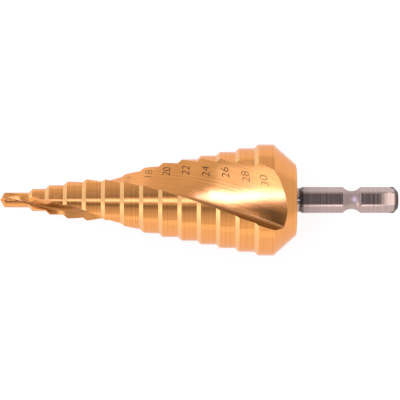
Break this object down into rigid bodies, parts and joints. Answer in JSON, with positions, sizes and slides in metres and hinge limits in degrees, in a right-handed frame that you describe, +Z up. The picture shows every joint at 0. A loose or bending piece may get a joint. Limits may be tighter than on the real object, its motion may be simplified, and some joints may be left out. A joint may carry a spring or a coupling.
{
  "type": "step drill",
  "caption": "Cone-shaped step drill with spiral flutes, a gold coated stepped head and a hexagon quick-change shank, for cutting round holes in sheet.",
  "frame": {"origin": "on the floor, under the centre of the drill's bounding box as it lies", "axes": "+Z up; +X along the drill from its point towards its shank, which rises at about 7 degrees; +Y towards the top edge of a view from above that has the point on its left"},
  "size_m": [0.1066, 0.03, 0.0279],
  "materials": {
    "coated_steel": "ground tool steel, gold titanium nitride coat on the head and bare steel on the shank"
  },
  "bodies": {
    "root": {"step_drill": "coated_steel"}
  },
  "joints": []
}
